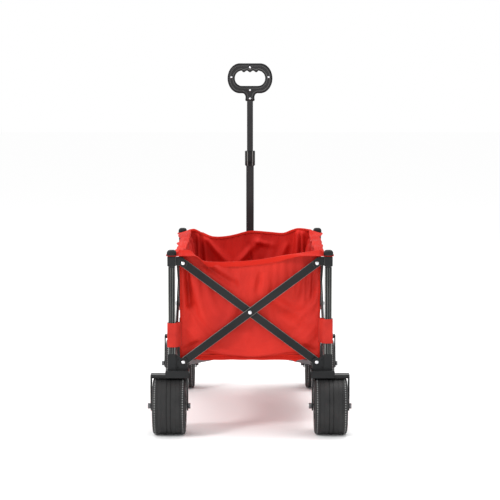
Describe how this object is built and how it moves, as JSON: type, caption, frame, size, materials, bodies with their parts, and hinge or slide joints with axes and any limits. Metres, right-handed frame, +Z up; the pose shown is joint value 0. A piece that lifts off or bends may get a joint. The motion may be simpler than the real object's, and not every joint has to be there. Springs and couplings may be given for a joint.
{
  "type": "folding utility wagon",
  "caption": "Folding utility wagon: a fabric tub in a scissor frame of crossed arms, with wide wheels, front casters and a telescoping pull handle.",
  "frame": {"origin": "on the ground under the middle of the frame", "axes": "+Z up, +Y towards the front with the pull handle, X across the width"},
  "size_m": [0.5766, 0.9699, 1.0605],
  "materials": {
    "frame_black": "satin black powder coat",
    "casting_black": "moulded black nylon, fine grain",
    "tyre_grey": "dark grey moulded tyre, satin",
    "zinc": "bright zinc plated",
    "bar_grey": "satin grey paint",
    "fabric_red": "coated polyester plain weave"
  },
  "bodies": {
    "rear_left_corner": {"lower_corner_rl": "casting_black", "outer_post_rl": "frame_black", "wheel_fork_rl": "frame_black", "axle_bolt_rl": "zinc"},
    "rear_right_corner": {"lower_corner_rr": "casting_black", "outer_post_rr": "frame_black", "wheel_fork_rr": "frame_black", "axle_bolt_rr": "zinc"},
    "front_left_corner": {"lower_corner_fl": "casting_black", "outer_post_fl": "frame_black"},
    "front_right_corner": {"lower_corner_fr": "casting_black", "outer_post_fr": "frame_black"},
    "front_left_caster": {"wheel_fork_fl": "frame_black", "axle_bolt_fl": "zinc"},
    "front_right_caster": {"wheel_fork_fr": "frame_black", "axle_bolt_fr": "zinc"},
    "upper_rear_left": {"upper_corner_rl": "casting_black", "inner_post_rl": "frame_black", "post_cap_rl": "casting_black", "bag": "fabric_red"},
    "upper_rear_right": {"upper_corner_rr": "casting_black", "inner_post_rr": "frame_black", "post_cap_rr": "casting_black"},
    "upper_front_left": {"upper_corner_fl": "casting_black", "inner_post_fl": "frame_black", "post_cap_fl": "casting_black"},
    "upper_front_right": {"upper_corner_fr": "casting_black", "inner_post_fr": "frame_black", "post_cap_fr": "casting_black"},
    "end_arm_rear_a": {"end_arm_rear_a": "frame_black"},
    "end_arm_rear_b": {"end_arm_rear_b": "frame_black"},
    "end_arm_front_a": {"end_arm_front_a": "frame_black"},
    "end_arm_front_b": {"end_arm_front_b": "frame_black"},
    "side_arm_left_a": {"side_arm_left_a": "frame_black"},
    "side_arm_left_b": {"side_arm_left_b": "frame_black"},
    "side_arm_left_c": {"side_arm_left_c": "frame_black"},
    "side_arm_left_d": {"side_arm_left_d": "frame_black"},
    "side_arm_right_a": {"side_arm_right_a": "frame_black"},
    "side_arm_right_b": {"side_arm_right_b": "frame_black"},
    "side_arm_right_c": {"side_arm_right_c": "frame_black"},
    "side_arm_right_d": {"side_arm_right_d": "frame_black"},
    "base_bar_rl": {"base_bar_rl": "bar_grey"},
    "wheel_rl": {"wheel_rl": "tyre_grey"},
    "base_bar_rr": {"base_bar_rr": "bar_grey"},
    "wheel_rr": {"wheel_rr": "tyre_grey"},
    "base_bar_fl": {"base_bar_fl": "bar_grey"},
    "wheel_fl": {"wheel_fl": "tyre_grey"},
    "base_bar_fr": {"base_bar_fr": "bar_grey"},
    "wheel_fr": {"wheel_fr": "tyre_grey"},
    "hub": {"hub": "casting_black"},
    "draw_link_left": {"draw_link_left": "frame_black"},
    "draw_link_right": {"draw_link_right": "frame_black"},
    "handle_yoke": {"handle_yoke": "casting_black"},
    "handle": {"handle_lower_tube": "frame_black", "handle_collar": "casting_black"},
    "handle_top": {"handle_upper_tube": "frame_black", "grip_front": "casting_black", "grip_back": "casting_black"}
  },
  "joints": [
    {"name": "frame_fold", "type": "hinge", "parent": "rear_left_corner", "child": "end_arm_rear_a", "pos_m": [-0.18842, -0.37683, 0.2055], "axis": [0, -1, 0], "range_deg": [0, 36], "deforming": ["bag"]},
    {"name": "rear_cross", "type": "hinge", "parent": "end_arm_rear_a", "child": "end_arm_rear_b", "pos_m": [0, -0.37683, 0.34594], "axis": [0, -1, 0], "range_deg": [-72.5, 0.5]},
    {"name": "rear_a_to_upper_right", "type": "hinge", "parent": "end_arm_rear_a", "child": "upper_rear_right", "pos_m": [0.18842, -0.37683, 0.48638], "axis": [0, -1, 0], "range_deg": [-36.5, 0.5]},
    {"name": "rear_b_to_upper_left", "type": "hinge", "parent": "end_arm_rear_b", "child": "upper_rear_left", "pos_m": [-0.18842, -0.37683, 0.48638], "axis": [0, -1, 0], "range_deg": [-0.5, 36.5]},
    {"name": "rear_b_to_lower_right", "type": "hinge", "parent": "end_arm_rear_b", "child": "rear_right_corner", "pos_m": [0.18842, -0.37683, 0.2055], "axis": [0, -1, 0], "range_deg": [-0.5, 36.5]},
    {"name": "left_a_to_corner", "type": "hinge", "parent": "rear_left_corner", "child": "side_arm_left_a", "pos_m": [-0.18842, -0.37683, 0.2055], "axis": [1, 0, 0], "range_deg": [-0.5, 36.5]},
    {"name": "left_rear_cross", "type": "hinge", "parent": "side_arm_left_a", "child": "side_arm_left_b", "pos_m": [-0.18842, -0.18842, 0.34594], "axis": [1, 0, 0], "range_deg": [-72.5, 0.5]},
    {"name": "left_top_middle", "type": "hinge", "parent": "side_arm_left_a", "child": "side_arm_left_c", "pos_m": [-0.18842, 0, 0.48638], "axis": [1, 0, 0], "range_deg": [-72.5, 0.5]},
    {"name": "left_front_cross", "type": "hinge", "parent": "side_arm_left_c", "child": "side_arm_left_d", "pos_m": [-0.18842, 0.18842, 0.34594], "axis": [1, 0, 0], "range_deg": [-0.5, 72.5]},
    {"name": "left_c_to_corner", "type": "hinge", "parent": "side_arm_left_c", "child": "front_left_corner", "pos_m": [-0.18842, 0.37683, 0.2055], "axis": [1, 0, 0], "range_deg": [-0.5, 36.5]},
    {"name": "left_d_to_upper", "type": "hinge", "parent": "side_arm_left_d", "child": "upper_front_left", "pos_m": [-0.18842, 0.37683, 0.48638], "axis": [1, 0, 0], "range_deg": [-36.5, 0.5]},
    {"name": "right_a_to_corner", "type": "hinge", "parent": "rear_right_corner", "child": "side_arm_right_a", "pos_m": [0.18842, -0.37683, 0.2055], "axis": [1, 0, 0], "range_deg": [-0.5, 36.5]},
    {"name": "right_rear_cross", "type": "hinge", "parent": "side_arm_right_a", "child": "side_arm_right_b", "pos_m": [0.18842, -0.18842, 0.34594], "axis": [1, 0, 0], "range_deg": [-72.5, 0.5]},
    {"name": "right_top_middle", "type": "hinge", "parent": "side_arm_right_a", "child": "side_arm_right_c", "pos_m": [0.18842, 0, 0.48638], "axis": [1, 0, 0], "range_deg": [-72.5, 0.5]},
    {"name": "right_front_cross", "type": "hinge", "parent": "side_arm_right_c", "child": "side_arm_right_d", "pos_m": [0.18842, 0.18842, 0.34594], "axis": [1, 0, 0], "range_deg": [-0.5, 72.5]},
    {"name": "right_c_to_corner", "type": "hinge", "parent": "side_arm_right_c", "child": "front_right_corner", "pos_m": [0.18842, 0.37683, 0.2055], "axis": [1, 0, 0], "range_deg": [-0.5, 36.5]},
    {"name": "right_d_to_upper", "type": "hinge", "parent": "side_arm_right_d", "child": "upper_front_right", "pos_m": [0.18842, 0.37683, 0.48638], "axis": [1, 0, 0], "range_deg": [-36.5, 0.5]},
    {"name": "front_a_to_corner", "type": "hinge", "parent": "front_left_corner", "child": "end_arm_front_a", "pos_m": [-0.18842, 0.37683, 0.2055], "axis": [0, -1, 0], "range_deg": [-0.5, 36.5]},
    {"name": "front_cross", "type": "hinge", "parent": "end_arm_front_a", "child": "end_arm_front_b", "pos_m": [0, 0.37683, 0.34594], "axis": [0, -1, 0], "range_deg": [-72.5, 0.5]},
    {"name": "base_bar_rear_left_fold", "type": "hinge", "parent": "rear_left_corner", "child": "base_bar_rl", "pos_m": [-0.18442, -0.36884, 0.196], "axis": [0.8944, -0.4472, 0], "range_deg": [-0.5, 81.24]},
    {"name": "base_bar_rear_right_fold", "type": "hinge", "parent": "rear_right_corner", "child": "base_bar_rr", "pos_m": [0.18442, -0.36884, 0.196], "axis": [0.8944, 0.4472, 0], "range_deg": [-0.5, 81.24]},
    {"name": "base_bar_front_left_fold", "type": "hinge", "parent": "front_left_corner", "child": "base_bar_fl", "pos_m": [-0.18442, 0.36884, 0.196], "axis": [-0.8944, -0.4472, 0], "range_deg": [-0.5, 81.24]},
    {"name": "base_bar_front_right_fold", "type": "hinge", "parent": "front_right_corner", "child": "base_bar_fr", "pos_m": [0.18442, 0.36884, 0.196], "axis": [-0.8944, 0.4472, 0], "range_deg": [-0.5, 81.24]},
    {"name": "hub_pivot", "type": "hinge", "parent": "base_bar_rl", "child": "hub", "pos_m": [-0.03578, -0.07155, 0.182], "axis": [0.8944, -0.4472, 0], "range_deg": [-81.24, 0.5]},
    {"name": "draw_link_left_fold", "type": "hinge", "parent": "front_left_corner", "child": "draw_link_left", "pos_m": [-0.18842, 0.42034, 0.2055], "axis": [0, -1, 0], "range_deg": [-0.5, 76.48]},
    {"name": "draw_link_right_fold", "type": "hinge", "parent": "front_right_corner", "child": "draw_link_right", "pos_m": [0.18842, 0.42034, 0.2055], "axis": [0, 1, 0], "range_deg": [-0.5, 76.48]},
    {"name": "yoke_pivot", "type": "hinge", "parent": "draw_link_left", "child": "handle_yoke", "pos_m": [-0.032, 0.42034, 0.2055], "axis": [0, -1, 0], "range_deg": [-76.48, 0.5]},
    {"name": "handle_tilt", "type": "hinge", "parent": "handle_yoke", "child": "handle", "pos_m": [0, 0.468, 0.2055], "axis": [-1, 0, 0], "range_deg": [0, 100]},
    {"name": "handle_slide", "type": "slide", "parent": "handle", "child": "handle_top", "axis": [0, 0.0523, -0.9986], "range_m": [0, 0.155]},
    {"name": "caster_swivel_left", "type": "hinge", "parent": "front_left_corner", "child": "front_left_caster", "pos_m": [-0.228, 0.40884, 0.1715], "axis": [0, 0, 1], "continuous": true},
    {"name": "caster_swivel_right", "type": "hinge", "parent": "front_right_corner", "child": "front_right_caster", "pos_m": [0.228, 0.40884, 0.1715], "axis": [0, 0, 1], "continuous": true},
    {"name": "wheel_spin_rear_left", "type": "hinge", "parent": "rear_left_corner", "child": "wheel_rl", "pos_m": [-0.228, -0.40884, 0.08], "axis": [1, 0, 0], "continuous": true},
    {"name": "wheel_spin_rear_right", "type": "hinge", "parent": "rear_right_corner", "child": "wheel_rr", "pos_m": [0.228, -0.40884, 0.08], "axis": [1, 0, 0], "continuous": true},
    {"name": "wheel_spin_front_left", "type": "hinge", "parent": "front_left_caster", "child": "wheel_fl", "pos_m": [-0.228, 0.38383, 0.08], "axis": [1, 0, 0], "continuous": true},
    {"name": "wheel_spin_front_right", "type": "hinge", "parent": "front_right_caster", "child": "wheel_fr", "pos_m": [0.228, 0.38383, 0.08], "axis": [1, 0, 0], "continuous": true}
  ],
  "couplings": [
    {"joint": "rear_cross", "follows": "frame_fold", "ratio": -2},
    {"joint": "rear_a_to_upper_right", "follows": "frame_fold", "ratio": -1},
    {"joint": "rear_b_to_upper_left", "follows": "frame_fold", "ratio": 1},
    {"joint": "rear_b_to_lower_right", "follows": "frame_fold", "ratio": 1},
    {"joint": "left_a_to_corner", "follows": "frame_fold", "ratio": 1},
    {"joint": "left_rear_cross", "follows": "frame_fold", "ratio": -2},
    {"joint": "left_top_middle", "follows": "frame_fold", "ratio": -2},
    {"joint": "left_front_cross", "follows": "frame_fold", "ratio": 2},
    {"joint": "left_c_to_corner", "follows": "frame_fold", "ratio": 1},
    {"joint": "left_d_to_upper", "follows": "frame_fold", "ratio": -1},
    {"joint": "right_a_to_corner", "follows": "frame_fold", "ratio": 1},
    {"joint": "right_rear_cross", "follows": "frame_fold", "ratio": -2},
    {"joint": "right_top_middle", "follows": "frame_fold", "ratio": -2},
    {"joint": "right_front_cross", "follows": "frame_fold", "ratio": 2},
    {"joint": "right_c_to_corner", "follows": "frame_fold", "ratio": 1},
    {"joint": "right_d_to_upper", "follows": "frame_fold", "ratio": -1},
    {"joint": "front_a_to_corner", "follows": "frame_fold", "ratio": 1},
    {"joint": "front_cross", "follows": "frame_fold", "ratio": -2},
    {"joint": "base_bar_rear_left_fold", "follows": "frame_fold", "ratio": 2.2427},
    {"joint": "base_bar_rear_right_fold", "follows": "frame_fold", "ratio": 2.2427},
    {"joint": "base_bar_front_left_fold", "follows": "frame_fold", "ratio": 2.2427},
    {"joint": "base_bar_front_right_fold", "follows": "frame_fold", "ratio": 2.2427},
    {"joint": "hub_pivot", "follows": "frame_fold", "ratio": -2.2427},
    {"joint": "draw_link_left_fold", "follows": "frame_fold", "ratio": 2.1107},
    {"joint": "draw_link_right_fold", "follows": "frame_fold", "ratio": 2.1107},
    {"joint": "yoke_pivot", "follows": "frame_fold", "ratio": -2.1107}
  ]
}
